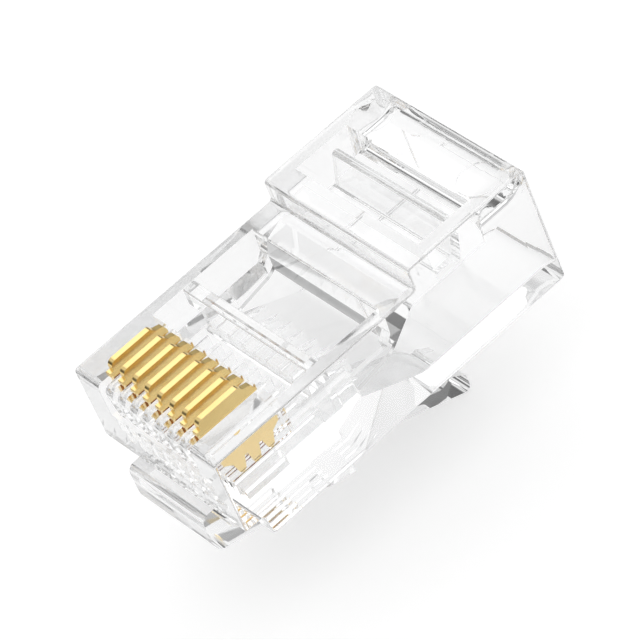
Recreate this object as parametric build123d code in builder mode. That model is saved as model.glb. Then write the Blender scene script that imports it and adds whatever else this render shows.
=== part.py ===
from build123d import *
import os
from math import atan2, cos, degrees, hypot, radians, sin, tan

# Clear eight way modular plug as it is sold, before it is crimped on a cable.
# X runs across the contacts, Y from the nose back to the cable end, Z up from the
# underside of the body to the contact side. The origin is the middle of the nose end
# on the plane of the underside. Millimetres.

os.makedirs("parts", exist_ok=True)

# Body outline
plug_width = 11.68
plug_length = 22.0
nose_height = 6.55
rear_height = 7.96
step_y = 13.85
nose_floor = 1.45
nose_depth = 1.2
nose_slope = 0.15
corner_radius = 0.25
side_radius = 0.12

# Contacts and the slots that hold them
ways = 8
pitch = 1.02
blade_thickness = 0.34
blade_front = 0.85
blade_length = 3.75
blade_rise = 0.95
blade_recess = 0.5
blade_clearance = 0.04
prongs = 3
prong_pitch = 0.97
prong_width = 0.78
prong_length = 0.87
middle_prong_extra = 0.2
slot_floor = 4.3
rib_set_back = 0.25
rib_radius = 0.5

# Wire channels, upwards from their floor
wire_floor = 2.8
wire_height = 1.05
channel_width = 0.74
channel_front = 0.95
comb_length = 4.15
divider_tip_length = 0.95
divider_tip_drop = 0.15

# Front window with the conductor strain relief bar across it
front_window_width = 10.14
front_window_gap = 0.25
front_window_length = 7.05
front_window_draft = 4.5
ledge_height = 4.45
ledge_slope = 0.55
bar_set_back = 2.1
bar_length = 0.8
bar_depth = 2.55
bar_end_height = 1.1
bar_toe = 0.16
bar_clearance = 0.04

# Funnel between the front window and the cavity, narrower than the window
funnel_width = 8.76
funnel_slope = 29.0

# Cavity for the cable jacket
cavity_width = 9.7
cavity_radius = 0.8
cavity_floor_radius = 0.25
cavity_floor = 1.0
bridge_wall = 1.15
rear_wall = 1.55
bridge_length = 1.55
flare_length = 1.2
flare_rise = 1.1
flare_side = 0.15

# Rear window with the jacket strain relief wedge in it
rear_window_width = 9.8
rear_window_length = 3.65
rear_window_draft = 9.0
wedge_width = 8.8
web_thickness = 0.4
wedge_reach = 1.45
wedge_thickness = 0.55
wedge_height = 2.0
wedge_lean = 15.0
hinge_clearance = 0.04

# Ejector pin marks on the rear land
mark_diameter = 2.4
mark_depth = 0.07
mark_spacing = 8.5
mark_inset = 1.75

# Latch lever below the body
lever_width = 6.2
tab_width = 3.24
shoulder_y = 8.0
lever_nose = 0.8
lever_angle = 14.75
lever_thickness = 0.87
lever_drop = 2.81
tab_bend_y = 12.3
tab_bend = 7.0
lip_y = 15.75
lip_height = 0.95
tab_end_y = 16.6
knuckle_radius = 0.46
shoulder_radius = 0.45


def lean(draft, height):
    # How far a wall with this draft angle leans over this height
    return height * tan(radians(draft))


slot_width = blade_thickness + 2 * blade_clearance
comb_width = ways * pitch
wire_top = wire_floor + wire_height
blade_top = nose_height + blade_rise
blade_rear = blade_front + blade_length
blade_stroke = blade_rise + blade_recess
prong_root = wire_top + prong_length - 0.05
window_front = blade_rear + front_window_gap
window_rear = window_front + front_window_length
bar_front = window_front + bar_set_back
bar_rear = bar_front + bar_length
comb_rear = window_front + comb_length
bridge_ceiling = nose_height - bridge_wall
rear_ceiling = rear_height - rear_wall
rear_window_front = step_y + bridge_length
rear_window_rear = rear_window_front + rear_window_length
ledge_top = ledge_height + ledge_slope
window_foot = window_rear - lean(front_window_draft, nose_height - ledge_top)
funnel_drop = (front_window_width - funnel_width) / 2 * tan(radians(funnel_slope))


def side_outline(corners):
    # Closed outline in the side view from one (y, z, corner radius) for each corner
    with BuildSketch() as outline:
        with BuildLine():
            FilletPolyline(*[(y, z) for y, z, _ in corners], radius=[r for _, _, r in corners], close=True)
        make_face()
    return outline.sketch_local


def cavity_section(spread, rise):
    # Outline of the jacket cavity seen from the cable end, larger by spread at its sides and floor
    half = cavity_width / 2 + spread
    low = cavity_floor - spread
    high = rear_ceiling + rise
    return side_outline(
        [
            (-half, low, cavity_floor_radius),
            (half, low, cavity_floor_radius),
            (half, high, cavity_radius),
            (-half, high, cavity_radius),
        ]
    )


def way_positions():
    # Distance of each contact from the middle of the plug
    return [(way - (ways - 1) / 2) * pitch for way in range(ways)]


# Space for the cable jacket, with the sloping roof that leads the wires down to their channels
with BuildPart() as jacket_space:
    with BuildSketch(Plane.YZ):
        add(
            side_outline(
                [
                    (comb_rear, wire_floor, 0),
                    (step_y - 0.85, cavity_floor, 1.5),
                    (plug_length, cavity_floor, 0),
                    (plug_length, rear_ceiling, 0),
                    (rear_window_front, rear_ceiling, 0),
                    (rear_window_front, bridge_ceiling, 0),
                    (step_y - 0.35, bridge_ceiling, 0.4),
                    (step_y - 2.35, wire_top - 0.12, 1.2),
                    (comb_rear, wire_floor + 0.48, 0),
                ]
            )
        )
    extrude(amount=cavity_width / 2, both=True)
    with BuildSketch(Plane.XZ.offset(-plug_length)):
        add(cavity_section(0, 0))
    extrude(amount=plug_length, mode=Mode.INTERSECT)

# Bell mouth at the cable end, widest at the top where the jacket bends in
with BuildPart() as mouth:
    for back, rise, spread in (
        (flare_length, 0, 0),
        (flare_length / 3, flare_rise / 3, flare_side / 3),
        (0, flare_rise, flare_side),
    ):
        with BuildSketch(Plane.XZ.offset(back - plug_length)):
            add(cavity_section(spread, rise))
    loft()

# One pointed end of a divider between two wires, low and narrow towards the cable
with BuildPart() as divider_tip:
    divider_thickness = pitch - channel_width
    with BuildSketch(Plane.YZ):
        with BuildLine():
            Polyline(
                (comb_rear, cavity_floor),
                (comb_rear, wire_top),
                (comb_rear + divider_tip_length, wire_top - divider_tip_drop),
                (comb_rear + divider_tip_length, cavity_floor),
                close=True,
            )
        make_face()
    extrude(amount=divider_thickness / 2, both=True)
    with BuildSketch():
        with BuildLine():
            Polyline(
                (-divider_thickness / 2, comb_rear),
                (divider_thickness / 2, comb_rear),
                (0, comb_rear + divider_tip_length),
                close=True,
            )
        make_face()
    extrude(amount=rear_height, mode=Mode.INTERSECT)

# Moulded body
with BuildPart() as housing:
    with BuildSketch(Plane.YZ):
        add(
            side_outline(
                [
                    (0, nose_floor, 0.15),
                    (nose_depth, nose_floor, 0.35),
                    (nose_depth + nose_slope, 0, corner_radius),
                    (plug_length, 0, corner_radius),
                    (plug_length, rear_height, corner_radius),
                    (step_y, rear_height, corner_radius),
                    (step_y, nose_height, corner_radius),
                    (0, nose_height, corner_radius),
                ]
            )
        )
    extrude(amount=plug_width / 2, both=True)
    fillet(housing.faces().filter_by(Axis.X).edges(), side_radius)

    # Cable end
    add(jacket_space.part, mode=Mode.SUBTRACT)
    add(mouth.part, mode=Mode.SUBTRACT)

    # Front window: a wide pocket on ledges, with the open trench above the wires
    with BuildSketch(Plane.YZ):
        add(
            side_outline(
                [
                    (window_front, rear_height, 0),
                    (window_front, ledge_height, 0),
                    (window_rear - ledge_slope, ledge_height, 0.3),
                    (window_foot, ledge_top, 0.3),
                    (window_rear, nose_height, 0),
                    (window_rear, rear_height, 0),
                ]
            )
        )
    extrude(amount=front_window_width / 2, both=True, mode=Mode.SUBTRACT)
    with BuildSketch(Plane.YZ):
        with BuildLine():
            Polyline(
                (window_front, wire_top),
                (comb_rear, wire_top),
                (comb_rear, nose_height),
                (window_front, nose_height),
                close=True,
            )
        make_face()
    extrude(amount=comb_width / 2, both=True, mode=Mode.SUBTRACT)

    # Funnel behind the comb, down to the cavity, with sides that slope in below the ledges
    funnel_foot = wire_floor + 0.3
    with BuildSketch(Plane.YZ):
        with BuildLine():
            Polyline(
                (comb_rear, nose_height),
                (comb_rear, funnel_foot),
                (window_foot, funnel_foot),
                (window_foot, ledge_top),
                (window_rear, nose_height),
                close=True,
            )
        make_face()
    extrude(amount=funnel_width / 2, both=True, mode=Mode.SUBTRACT)
    with BuildSketch(Plane.XZ.offset(-comb_rear)):
        with BuildLine():
            Polyline(
                (-front_window_width / 2, ledge_height + 0.1),
                (-front_window_width / 2, ledge_height),
                (-funnel_width / 2, ledge_height - funnel_drop),
                (-funnel_width / 2, funnel_foot),
                (funnel_width / 2, funnel_foot),
                (funnel_width / 2, ledge_height - funnel_drop),
                (front_window_width / 2, ledge_height),
                (front_window_width / 2, ledge_height + 0.1),
                close=True,
            )
        make_face()
    extrude(amount=comb_rear - window_rear + ledge_slope, mode=Mode.SUBTRACT)

    # Gap in the comb of dividers where the bar comes down on the wires
    with BuildSketch(Plane.YZ):
        with Locations(((bar_front + bar_rear) / 2, (wire_floor + wire_top) / 2)):
            Rectangle(bar_length + bar_toe * 2 + 4 * bar_clearance, wire_height + 0.02)
    extrude(amount=comb_width / 2, both=True, mode=Mode.SUBTRACT)

    # Rear window
    rear_window_depth = rear_height - bridge_ceiling
    with BuildSketch(Plane.YZ):
        with BuildLine():
            Polyline(
                (rear_window_front, rear_height),
                (rear_window_front, bridge_ceiling),
                (rear_window_rear - lean(rear_window_draft, rear_window_depth), bridge_ceiling),
                (rear_window_rear, rear_height),
                close=True,
            )
        make_face()
    extrude(amount=rear_window_width / 2, both=True, mode=Mode.SUBTRACT)

    for x in way_positions():
        # Wire channel
        with BuildSketch(Plane.XZ.offset(-channel_front)):
            with Locations((x, (wire_floor + wire_top) / 2)):
                Rectangle(channel_width, wire_height)
        extrude(amount=channel_front - comb_rear, mode=Mode.SUBTRACT)
        # Contact slot, open to the nose above its floor and down into the channel behind
        with BuildSketch(Plane.YZ.offset(x)):
            add(
                side_outline(
                    [
                        (-corner_radius, slot_floor, 0),
                        (blade_front - blade_clearance, slot_floor, 0),
                        (blade_front - blade_clearance, wire_top - 0.4, 0),
                        (window_front + 0.05, wire_top - 0.4, 0),
                        (window_front + 0.05, rear_height, 0),
                        (-corner_radius, rear_height, 0),
                    ]
                )
            )
        extrude(amount=slot_width / 2, both=True, mode=Mode.SUBTRACT)
        # Relief below the wire, where the prongs go when the contact is driven home
        prong_span = (prongs - 1) * prong_pitch + prong_width + 2 * blade_clearance
        relief_depth = blade_stroke + middle_prong_extra - wire_height + blade_clearance + 0.1
        with BuildSketch(Plane.YZ.offset(x)):
            with Locations((blade_front + blade_length / 2, wire_floor - relief_depth / 2)):
                Rectangle(prong_span, relief_depth + 0.02)
        extrude(amount=slot_width / 2, both=True, mode=Mode.SUBTRACT)

    # Ribs between the slots stand back from the nose and are rounded over at the top
    rib_zone = (ways - 1) * pitch + slot_width
    with BuildSketch(Plane.YZ):
        with BuildLine():
            rib_lean = Line((rib_set_back, slot_floor), (rib_set_back / 4, nose_height - rib_radius))
            rib_top = RadiusArc(rib_lean @ 1, (rib_set_back / 4 + rib_radius, nose_height), rib_radius)
            Polyline(rib_top @ 1, (rib_radius, rear_height), (-1, rear_height), (-1, slot_floor), rib_lean @ 0)
        make_face()
    extrude(amount=rib_zone / 2, both=True, mode=Mode.SUBTRACT)

    # Divider tips on the ramp behind the comb
    for gap in range(1, ways):
        with Locations(((gap - ways / 2) * pitch, 0, 0)):
            add(divider_tip.part)

    # Ejector pin marks
    with BuildSketch(Plane.XY.offset(rear_height)):
        with Locations((0, plug_length - mark_inset)):
            with GridLocations(mark_spacing, 1, 2, 1):
                Circle(mark_diameter / 2)
    extrude(amount=-mark_depth, mode=Mode.SUBTRACT)

housing.part.label = "housing"
export_step(housing.part, "parts/housing.step")

# Conductor strain relief bar, full width at the top, with a blade that comes down between the ledges
bar_bottom = nose_height - bar_depth
with BuildPart() as conductor_strain_relief:
    with BuildSketch(Plane.YZ):
        add(
            side_outline(
                [
                    (bar_front, nose_height, 0.08),
                    (bar_front, ledge_height, 0),
                    (bar_front - bar_toe, ledge_height - 0.12, 0),
                    (bar_front - bar_toe, bar_bottom, 0.12),
                    (bar_rear, bar_bottom, 0.12),
                    (bar_rear, nose_height, 0.08),
                ]
            )
        )
    extrude(amount=front_window_width / 2 - bar_clearance, both=True)
    # The ends stay above the ledges over the whole stroke
    with BuildSketch(Plane.XZ.offset(-bar_front + bar_length)):
        for side in (-1, 1):
            end_width = (front_window_width - comb_width) / 2 + bar_clearance
            end_drop = bar_depth - bar_end_height
            with Locations((side * (front_window_width / 2 - end_width / 2), bar_bottom + end_drop / 2)):
                Rectangle(end_width, end_drop)
    extrude(amount=-3 * bar_length, mode=Mode.SUBTRACT)

conductor_strain_relief.part.label = "conductor_strain_relief"
export_step(conductor_strain_relief.part, "parts/conductor_strain_relief.step")

# Jacket strain relief wedge on its web, hinged at the front wall of the rear window
hinge_y = rear_window_front + web_thickness / 2 + hinge_clearance
hinge_z = bridge_ceiling + web_thickness / 2
plate_y = hinge_y + wedge_reach
plate_top_y = plate_y + wedge_height * tan(radians(wedge_lean))
with BuildPart() as jacket_strain_relief:
    with BuildSketch(Plane.YZ):
        web_middle = ((hinge_y + plate_y) / 2, hinge_z)
        SlotCenterPoint(web_middle, (plate_y, hinge_z), web_thickness)
        plate_low = hinge_z - 0.2
        plate_middle = ((plate_y + plate_top_y) / 2, plate_low + wedge_height / 2)
        SlotCenterPoint(plate_middle, (plate_top_y, plate_low + wedge_height), wedge_thickness)
    extrude(amount=wedge_width / 2, both=True)

jacket_strain_relief.part.label = "jacket_strain_relief"
export_step(jacket_strain_relief.part, "parts/jacket_strain_relief.step")

# Latch lever: a hairpin below the nose, a wide root with two shoulders, then the finger tab
lever_top = nose_floor - hinge_clearance
lever_slope = tan(radians(lever_angle))
tab_slope = tan(radians(lever_angle + tab_bend))


def lever_underside(y):
    # Height of the lower face, straight to the bend and steeper along the tab
    return nose_floor - lever_drop - lever_slope * min(y, tab_bend_y) - tab_slope * max(y - tab_bend_y, 0)


with BuildPart() as latch_lever:
    with BuildSketch(Plane.YZ):
        knuckle_y = 0.3
        knuckle_rear = knuckle_y + knuckle_radius
        tab_floor = lip_y - 0.75
        add(
            side_outline(
                [
                    (-lever_nose, lever_top, 0.45),
                    (knuckle_rear, lever_top, knuckle_radius),
                    (knuckle_rear, lever_top - 0.9, 0.2),
                    (0.35, lever_underside(0.35) + lever_thickness, 0.45),
                    (tab_bend_y, lever_underside(tab_bend_y) + lever_thickness, 2.0),
                    (tab_floor, lever_underside(tab_floor) + lever_thickness, 0.6),
                    (lip_y, lever_underside(lip_y) + lever_thickness + lip_height * 0.6, 0.12),
                    (tab_end_y, lever_underside(tab_end_y) + lever_thickness + 0.3, 0.3),
                    (tab_end_y, lever_underside(tab_end_y), 0.3),
                    (tab_bend_y, lever_underside(tab_bend_y), 2.0),
                    (-lever_nose, lever_underside(-lever_nose), 0.8),
                ]
            )
        )
    extrude(amount=lever_width / 2, both=True)
    # Narrow tab behind the shoulders
    with BuildSketch(Plane.XY.offset(-plug_length)):
        for side in (-1, 1):
            notch_width = lever_width - tab_width / 2
            notch_length = plug_length - shoulder_y
            with Locations((side * (tab_width / 2 + notch_width / 2), shoulder_y + notch_length / 2)):
                RectangleRounded(notch_width, notch_length, shoulder_radius)
    extrude(amount=2 * plug_length, mode=Mode.SUBTRACT)

latch_lever.part.label = "latch_lever"
export_step(latch_lever.part, "parts/latch_lever.step")


def prong_points():
    # Zigzag of the piercing prongs from the rear of the blade to its front
    points = []
    for place in reversed(range(prongs)):
        middle = blade_front + blade_length / 2 + (place - (prongs - 1) / 2) * prong_pitch
        is_middle = place == prongs // 2
        tip = prong_root - prong_length - (middle_prong_extra if is_middle else 0)
        points.append((middle + prong_width / 2, prong_root, 0))
        points.append((middle + prong_width / 4, tip + 0.12, 0))
        points.append((middle, tip, 0))
        points.append((middle - prong_width / 4, tip + 0.12, 0))
        points.append((middle - prong_width / 2, prong_root, 0))
    return points


# Contact blades, stamped from sheet: crown, rear step, shoulders and three prongs
for number, x in enumerate(way_positions(), start=1):
    with BuildPart() as contact:
        with BuildSketch(Plane.YZ.offset(x)):
            add(
                side_outline(
                    [
                        (blade_front, prong_root + 0.35, 0.1),
                        (blade_front, blade_top - 0.78, 0),
                        (blade_front - 0.13, blade_top - 0.78, 0),
                        (blade_front - 0.13, blade_top - 0.55, 0.05),
                        (blade_front + 0.14, blade_top - 0.55, 0),
                        (blade_front + 0.14, blade_top, 0.35),
                        (blade_rear - 0.85, blade_top, 0.2),
                        (blade_rear - 0.62, blade_top - 0.3, 0.1),
                        (blade_rear - 0.15, blade_top - 0.45, 0.1),
                        (blade_rear, blade_top - 0.75, 0.1),
                        (blade_rear, prong_root + 0.35, 0.1),
                    ]
                    + prong_points()
                )
            )
        extrude(amount=blade_thickness / 2, both=True)
    name = f"contact_{number}"
    contact.part.label = name
    export_step(contact.part, f"parts/{name}.step")
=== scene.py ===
from math import cos, radians, sin

import bpy
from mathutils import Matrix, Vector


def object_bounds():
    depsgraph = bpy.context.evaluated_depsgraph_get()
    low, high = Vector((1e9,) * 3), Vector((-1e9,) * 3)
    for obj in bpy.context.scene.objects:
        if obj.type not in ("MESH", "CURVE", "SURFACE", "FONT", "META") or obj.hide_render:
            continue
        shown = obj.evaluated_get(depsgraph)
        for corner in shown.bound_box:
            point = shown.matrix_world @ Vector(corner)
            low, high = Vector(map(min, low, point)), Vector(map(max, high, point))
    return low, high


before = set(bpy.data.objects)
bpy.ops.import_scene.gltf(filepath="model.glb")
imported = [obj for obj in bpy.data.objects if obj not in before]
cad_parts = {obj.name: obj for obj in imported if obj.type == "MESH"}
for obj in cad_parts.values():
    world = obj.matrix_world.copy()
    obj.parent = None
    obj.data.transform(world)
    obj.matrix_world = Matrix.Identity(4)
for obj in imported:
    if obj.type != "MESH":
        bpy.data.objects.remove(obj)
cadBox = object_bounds()
scene = bpy.context.scene
mm = 0.001
white = (1, 1, 1, 1)


def newMaterial(name):
    material = bpy.data.materials.new(name)
    material.use_nodes = True
    material.node_tree.nodes.clear()
    return material


def addNode(tree, kind, label, **values):
    # Adds a node and sets the inputs that are named in values
    node = tree.nodes.new(kind)
    node.label = label
    for socket, value in values.items():
        node.inputs[socket.replace("_", " ")].default_value = value
    return node


def addMath(tree, operation, label, second=None):
    # Adds a math node, and sets its second number where that is fixed
    node = addNode(tree, "ShaderNodeMath", label)
    node.operation = operation
    if second is not None:
        node.inputs[1].default_value = second
    return node


# Camera, at the place and angle that the photograph was taken from
cameraSet = {
    "place": (169.55 * mm, -64.15 * mm, 177.43 * mm),
    "turn": (44.187, 17.419, 48.978),  # degrees
    "lens": 280.87,
    "sensor": 36.0,
    "nearest": 5 * mm,
    "farthest": 5.0,
}
cameraData = bpy.data.cameras.new("photoCamera")
cameraData.lens = cameraSet["lens"]
cameraData.sensor_width = cameraSet["sensor"]
cameraData.clip_start = cameraSet["nearest"]
cameraData.clip_end = cameraSet["farthest"]
photoCamera = bpy.data.objects.new("photoCamera", cameraData)
photoCamera.location = cameraSet["place"]
photoCamera.rotation_euler = [radians(angle) for angle in cameraSet["turn"]]
scene.collection.objects.link(photoCamera)
scene.camera = photoCamera
print("camera placed")


# Studio: a lit white table under a grey dome, with one pale card and five dark ones round the plug.
# The dome is given as heights, from -1 straight down to 1 straight up, with the level at each.
# A card's place, spread and soft edge are in degrees, and its level is added to the dome's.
studioSet = {
    "floorSize": 0.13,
    "floorGap": 0.05 * mm,
    "floorColour": (0.60, 0.60, 0.60, 1),
    "glowSeen": 0.62,  # white table as the camera sees it
    "glowThrough": 0.52,  # and as it shows in or through the plug
    "dome": (
        (-1.0, 0.62),
        (-0.02, 0.62),
        (0.0, 0.34),
        (0.25, 0.50),
        (0.55, 0.78),
        (0.8, 0.95),
        (1.0, 1.15),
    ),
    "cards": (
        {"name": "pale card behind", "azimuth": 150, "elevation": 41,
         "spread": 14, "edge": 8, "level": 0.65},
        {"name": "dark card on the far side", "azimuth": 30, "elevation": 28,
         "spread": 22, "edge": 12, "level": -0.48},
        {"name": "dark card below the pale one", "azimuth": 135, "elevation": 16,
         "spread": 18, "edge": 8, "level": -0.38},
        {"name": "dark card at the left", "azimuth": 215, "elevation": 14,
         "spread": 14, "edge": 8, "level": -0.46},
        {"name": "dark card high at the left", "azimuth": 180, "elevation": 63,
         "spread": 14, "edge": 10, "level": -0.30},
        {"name": "dark card by the camera", "azimuth": 330, "elevation": 35,
         "spread": 14, "edge": 10, "level": -0.30},
    ),
    "darkest": 0.06,  # no card is darker than this
    "bounces": 128,  # fewer leave black patches in the clear plastic
}


def cardAxis(card):
    # Unit direction from the plug to the middle of a card
    azimuth = radians(card["azimuth"])
    elevation = radians(card["elevation"])
    return (cos(elevation) * cos(azimuth), cos(elevation) * sin(azimuth), sin(elevation))


def buildSky(values):
    world = bpy.data.worlds.new("studioSky")
    world.use_nodes = True
    tree = world.node_tree
    tree.nodes.clear()
    link = tree.links.new
    direction = addNode(tree, "ShaderNodeTexCoord", "direction")
    split = addNode(tree, "ShaderNodeSeparateXYZ", "height of the direction")
    turned = addNode(tree, "ShaderNodeMapRange", "from straight down to straight up", From_Min=-1)
    ramp = addNode(tree, "ShaderNodeValToRGB", "grey dome")
    stops = ramp.color_ramp.elements
    while len(stops) < len(values["dome"]):
        stops.new(0.5)  # its own place comes below
    for stop, (height, level) in zip(stops, values["dome"]):
        stop.position = (height + 1) / 2
        stop.color = (level, level, level, 1)
    link(direction.outputs["Generated"], split.inputs[0])
    link(split.outputs["Z"], turned.inputs["Value"])
    link(turned.outputs["Result"], ramp.inputs["Fac"])
    level = ramp.outputs["Color"]
    for card in values["cards"]:
        toward = addNode(tree, "ShaderNodeVectorMath", card["name"])
        toward.operation = "DOT_PRODUCT"
        toward.inputs[1].default_value = cardAxis(card)
        shape = addNode(tree, "ShaderNodeMapRange", "soft edge")
        shape.interpolation_type = "SMOOTHSTEP"
        shape.inputs["From Min"].default_value = cos(radians(card["spread"] + card["edge"]))
        shape.inputs["From Max"].default_value = cos(radians(card["spread"]))
        shape.inputs["To Max"].default_value = card["level"]
        total = addMath(tree, "ADD", "card on the dome")
        link(direction.outputs["Generated"], toward.inputs[0])
        link(toward.outputs["Value"], shape.inputs["Value"])
        link(level, total.inputs[0])
        link(shape.outputs["Result"], total.inputs[1])
        level = total.outputs[0]
    limit = addMath(tree, "MAXIMUM", "darkest card", values["darkest"])
    light = addNode(tree, "ShaderNodeBackground", "light of the studio", Color=white)
    backdrop = addNode(tree, "ShaderNodeBackground", "white behind the plug", Color=white)
    path = addNode(tree, "ShaderNodeLightPath", "kind of ray")
    mix = addNode(tree, "ShaderNodeMixShader", "seen or lighting")
    out = addNode(tree, "ShaderNodeOutputWorld", "world")
    link(level, limit.inputs[0])
    link(limit.outputs[0], light.inputs["Strength"])
    link(path.outputs["Is Camera Ray"], mix.inputs["Fac"])
    link(light.outputs[0], mix.inputs[1])
    link(backdrop.outputs[0], mix.inputs[2])
    link(mix.outputs[0], out.inputs["Surface"])
    scene.world = world


def buildFloor(values):
    half = values["floorSize"] / 2
    level = cadBox[0].z - values["floorGap"]
    mesh = bpy.data.meshes.new("studioFloor")
    corners = [(-half, -half, level), (half, -half, level), (half, half, level), (-half, half, level)]
    mesh.from_pydata(corners, [], [(0, 1, 2, 3)])
    floor = bpy.data.objects.new("studioFloor", mesh)
    scene.collection.objects.link(floor)
    material = newMaterial("whiteTable")
    tree = material.node_tree
    paint = addNode(tree, "ShaderNodeBsdfDiffuse", "white paint", Color=values["floorColour"])
    glow = addNode(tree, "ShaderNodeEmission", "white background")
    path = addNode(tree, "ShaderNodeLightPath", "kind of ray")
    through = addMath(tree, "MAXIMUM", "in gloss or through the plug")
    dimmed = addMath(tree, "MULTIPLY", "glow in the plug", values["glowThrough"])
    total = addMath(tree, "MULTIPLY_ADD", "glow level", values["glowSeen"])
    both = addNode(tree, "ShaderNodeAddShader", "paint and glow")
    out = addNode(tree, "ShaderNodeOutputMaterial", "surface")
    link = tree.links.new
    link(path.outputs["Is Glossy Ray"], through.inputs[0])
    link(path.outputs["Is Transmission Ray"], through.inputs[1])
    link(through.outputs[0], dimmed.inputs[0])
    link(path.outputs["Is Camera Ray"], total.inputs[0])
    link(dimmed.outputs[0], total.inputs[2])
    link(total.outputs[0], glow.inputs["Strength"])
    link(paint.outputs[0], both.inputs[0])
    link(glow.outputs[0], both.inputs[1])
    link(both.outputs[0], out.inputs["Surface"])
    floor.data.materials.append(material)


buildSky(studioSet)
buildFloor(studioSet)
scene.view_settings.view_transform = "Standard"
scene.cycles.max_bounces = studioSet["bounces"]
scene.cycles.transmission_bounces = studioSet["bounces"]
scene.cycles.glossy_bounces = studioSet["bounces"]
print("studio built")


# Finish of the moulded plastic: faint flow lines and a soft uneven polish
finishSet = {
    "flowStretch": (1.0, 0.25, 1.0),  # flow lines run along the plug
    "flowDetail": 2.0,
    "flowRoughness": 0.5,
    "cloudScale": 250.0,
    "cloudDetail": 2.0,
    "veil": (0.90, 0.92, 0.93, 1),
}


def buildMouldedFinish(values):
    group = bpy.data.node_groups.new("mouldedFinish", "ShaderNodeTree")
    face = group.interface
    for name in ("Flow Scale", "Flow Depth", "Polish", "Cloud"):
        face.new_socket(name, in_out="INPUT", socket_type="NodeSocketFloat")
    face.new_socket("Clear", in_out="INPUT", socket_type="NodeSocketColor")
    face.new_socket("Tint", in_out="OUTPUT", socket_type="NodeSocketColor")
    face.new_socket("Roughness", in_out="OUTPUT", socket_type="NodeSocketFloat")
    face.new_socket("Height", in_out="OUTPUT", socket_type="NodeSocketFloat")
    inputs = addNode(group, "NodeGroupInput", "inputs")
    outputs = addNode(group, "NodeGroupOutput", "outputs")
    place = addNode(group, "ShaderNodeTexCoord", "place on the plug")
    stretch = addNode(group, "ShaderNodeMapping", "drawn out along the flow", Scale=values["flowStretch"])
    flow = addNode(group, "ShaderNodeTexNoise", "flow lines",
                   Detail=values["flowDetail"], Roughness=values["flowRoughness"])
    cloud = addNode(group, "ShaderNodeTexNoise", "uneven polish",
                    Scale=values["cloudScale"], Detail=values["cloudDetail"])
    swing = addMath(group, "MULTIPLY", "swing of the polish")
    rough = addMath(group, "ADD", "polish with its swing")
    height = addMath(group, "MULTIPLY", "depth of the flow lines")
    shade = addMath(group, "MULTIPLY", "faint veil")
    tint = addNode(group, "ShaderNodeMix", "tint")
    tint.data_type = "RGBA"
    tint.inputs[7].default_value = values["veil"]
    link = group.links.new
    link(place.outputs["Object"], stretch.inputs["Vector"])
    link(stretch.outputs[0], flow.inputs["Vector"])
    link(inputs.outputs["Flow Scale"], flow.inputs["Scale"])
    link(place.outputs["Object"], cloud.inputs["Vector"])
    link(cloud.outputs["Fac"], swing.inputs[0])
    link(inputs.outputs["Cloud"], swing.inputs[1])
    link(swing.outputs[0], rough.inputs[0])
    link(inputs.outputs["Polish"], rough.inputs[1])
    link(flow.outputs["Fac"], height.inputs[0])
    link(inputs.outputs["Flow Depth"], height.inputs[1])
    link(cloud.outputs["Fac"], shade.inputs[0])
    link(inputs.outputs["Cloud"], shade.inputs[1])
    link(shade.outputs[0], tint.inputs[0])
    link(inputs.outputs["Clear"], tint.inputs[6])
    link(tint.outputs[2], outputs.inputs["Tint"])
    link(rough.outputs[0], outputs.inputs["Roughness"])
    link(height.outputs[0], outputs.inputs["Height"])
    return group


mouldedFinish = buildMouldedFinish(finishSet)


def clearPlastic(name, values):
    material = newMaterial(name)
    tree = material.node_tree
    finish = addNode(tree, "ShaderNodeGroup", "moulded finish")
    finish.node_tree = mouldedFinish
    finish.inputs["Flow Scale"].default_value = values["flowScale"]
    finish.inputs["Flow Depth"].default_value = values["flowDepth"]
    finish.inputs["Polish"].default_value = values["polish"]
    finish.inputs["Cloud"].default_value = values["cloud"]
    finish.inputs["Clear"].default_value = values["colour"]
    bump = addNode(tree, "ShaderNodeBump", "flow lines", Strength=values["bump"], Distance=values["lift"])
    shader = addNode(tree, "ShaderNodeBsdfPrincipled", "clear plastic", IOR=values["bending"])
    shader.inputs["Transmission Weight"].default_value = 1.0
    out = addNode(tree, "ShaderNodeOutputMaterial", "surface")
    link = tree.links.new
    link(finish.outputs["Tint"], shader.inputs["Base Color"])
    link(finish.outputs["Roughness"], shader.inputs["Roughness"])
    link(finish.outputs["Height"], bump.inputs["Height"])
    link(bump.outputs[0], shader.inputs["Normal"])
    link(shader.outputs[0], out.inputs["Surface"])
    return material


def dress(nodeNames, material):
    for nodeName in nodeNames:
        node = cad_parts[nodeName]
        node.data.materials.clear()
        node.data.materials.append(material)


housingSet = {
    "flowScale": 420.0,
    "flowDepth": 0.5,
    "bump": 0.15,
    "lift": 0.02 * mm,  # how far the flow lines may stand up
    "polish": 0.015,
    "cloud": 0.02,
    "bending": 1.58,  # how strongly the plastic bends light
    "colour": (0.994, 0.995, 0.996, 1),
}
dress(["housing"], clearPlastic("clearHousing", housingSet))

leverSet = {**housingSet, "flowScale": 300.0, "bump": 0.25}
dress(["latch_lever"], clearPlastic("clearLever", leverSet))

barSet = {**housingSet, "flowScale": 500.0}
dress(["conductor_strain_relief"], clearPlastic("clearBar", barSet))

wedgeSet = {**housingSet, "flowScale": 500.0, "cloud": 0.03}
dress(["jacket_strain_relief"], clearPlastic("clearWedge", wedgeSet))
print("plastic dressed")


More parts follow.
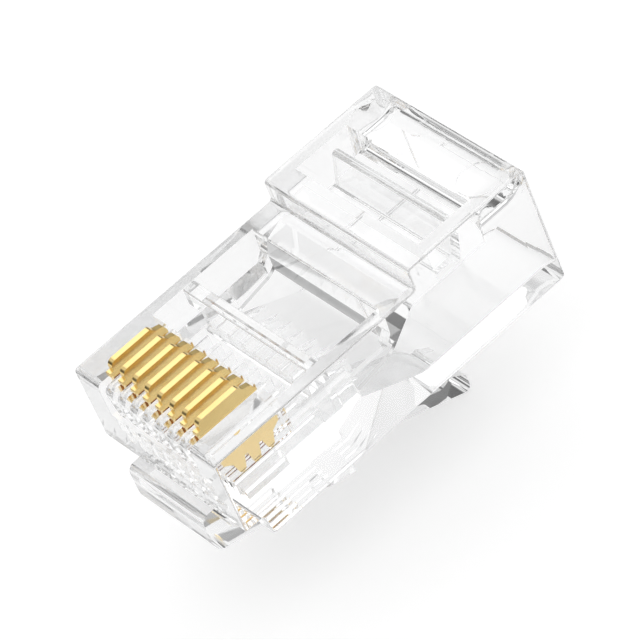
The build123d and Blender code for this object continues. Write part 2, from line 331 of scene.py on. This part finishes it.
# Gold plate on the stamped contact blades
contactSet = {
    "ways": 8,
    "gold": (0.95, 0.74, 0.34, 1),
    "deepGold": (0.90, 0.66, 0.27, 1),
    "plateScale": 600.0,
    "plateDetail": 2.0,
    "roughness": 0.22,
    "roughSwing": 0.10,
    "grainStretch": (1.0, 0.12, 1.0),  # grain runs along the strip
    "grainScale": 1800.0,
    "grainDetail": 3.0,
    "bump": 0.12,
    "lift": 0.01 * mm,  # how far the grain may stand up
}


def goldPlate(name, values):
    material = newMaterial(name)
    tree = material.node_tree
    place = addNode(tree, "ShaderNodeTexCoord", "place on the blade")
    stretch = addNode(tree, "ShaderNodeMapping", "drawn out along the strip", Scale=values["grainStretch"])
    grain = addNode(tree, "ShaderNodeTexNoise", "rolling grain",
                    Scale=values["grainScale"], Detail=values["grainDetail"])
    plate = addNode(tree, "ShaderNodeTexNoise", "uneven plate",
                    Scale=values["plateScale"], Detail=values["plateDetail"])
    colour = addNode(tree, "ShaderNodeMix", "plate colour")
    colour.data_type = "RGBA"
    colour.inputs[6].default_value = values["deepGold"]
    colour.inputs[7].default_value = values["gold"]
    rough = addNode(tree, "ShaderNodeMapRange", "polish")
    rough.inputs["To Min"].default_value = values["roughness"] - values["roughSwing"] / 2
    rough.inputs["To Max"].default_value = values["roughness"] + values["roughSwing"] / 2
    bump = addNode(tree, "ShaderNodeBump", "grain", Strength=values["bump"], Distance=values["lift"])
    shader = addNode(tree, "ShaderNodeBsdfPrincipled", "gold", Metallic=1.0)
    out = addNode(tree, "ShaderNodeOutputMaterial", "surface")
    link = tree.links.new
    link(place.outputs["Object"], stretch.inputs["Vector"])
    link(stretch.outputs[0], grain.inputs["Vector"])
    link(place.outputs["Object"], plate.inputs["Vector"])
    link(plate.outputs["Fac"], colour.inputs[0])
    link(grain.outputs["Fac"], rough.inputs["Value"])
    link(grain.outputs["Fac"], bump.inputs["Height"])
    link(colour.outputs[2], shader.inputs["Base Color"])
    link(rough.outputs["Result"], shader.inputs["Roughness"])
    link(bump.outputs[0], shader.inputs["Normal"])
    link(shader.outputs[0], out.inputs["Surface"])
    return material


contactNames = [f"contact_{way}" for way in range(1, contactSet["ways"] + 1)]
dress(contactNames, goldPlate("goldPlate", contactSet))
print("contacts dressed")
